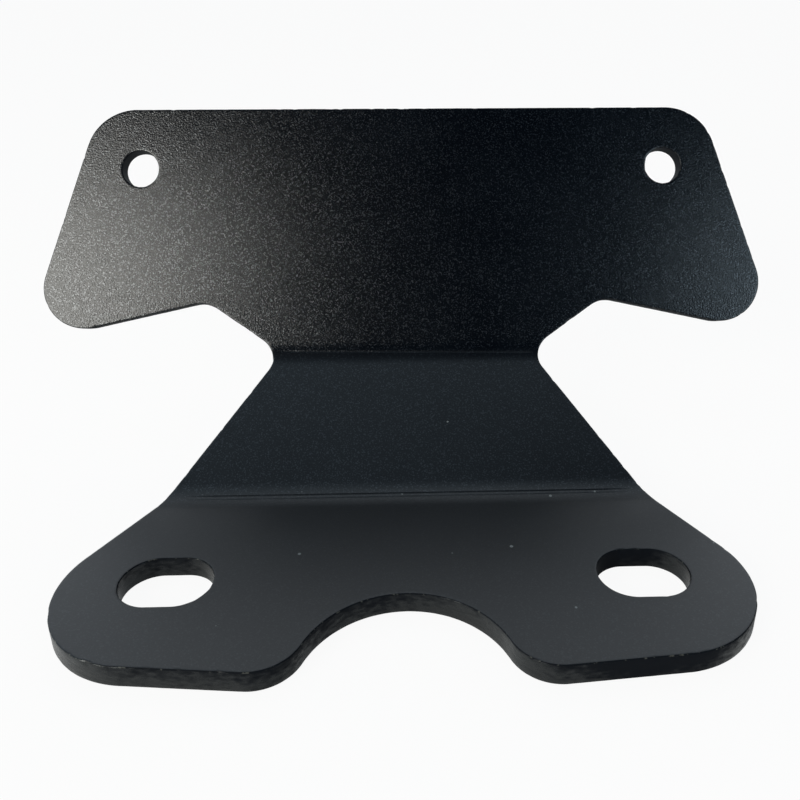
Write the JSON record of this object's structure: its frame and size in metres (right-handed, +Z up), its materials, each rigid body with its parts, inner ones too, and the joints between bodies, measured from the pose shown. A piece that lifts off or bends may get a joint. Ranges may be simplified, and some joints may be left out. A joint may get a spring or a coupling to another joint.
{
  "type": "headlight bracket",
  "caption": "Folded steel bracket: a slotted clamp plate with a half-round notch, a tapered neck and an upright winged plate with a lamp bolt hole near each upper corner.",
  "frame": {"origin": "centre of the two-slot bolt pattern on the underside of the clamp plate", "axes": "+X along the slots, +Y away from the notch towards the lamp plate, +Z up from the clamp plate"},
  "size_m": [0.1598, 0.1007, 0.0708],
  "materials": {
    "powder_coated_steel": "black fine-texture powder coat, satin"
  },
  "bodies": {
    "root": {"bracket_plate": "powder_coated_steel"}
  },
  "joints": []
}
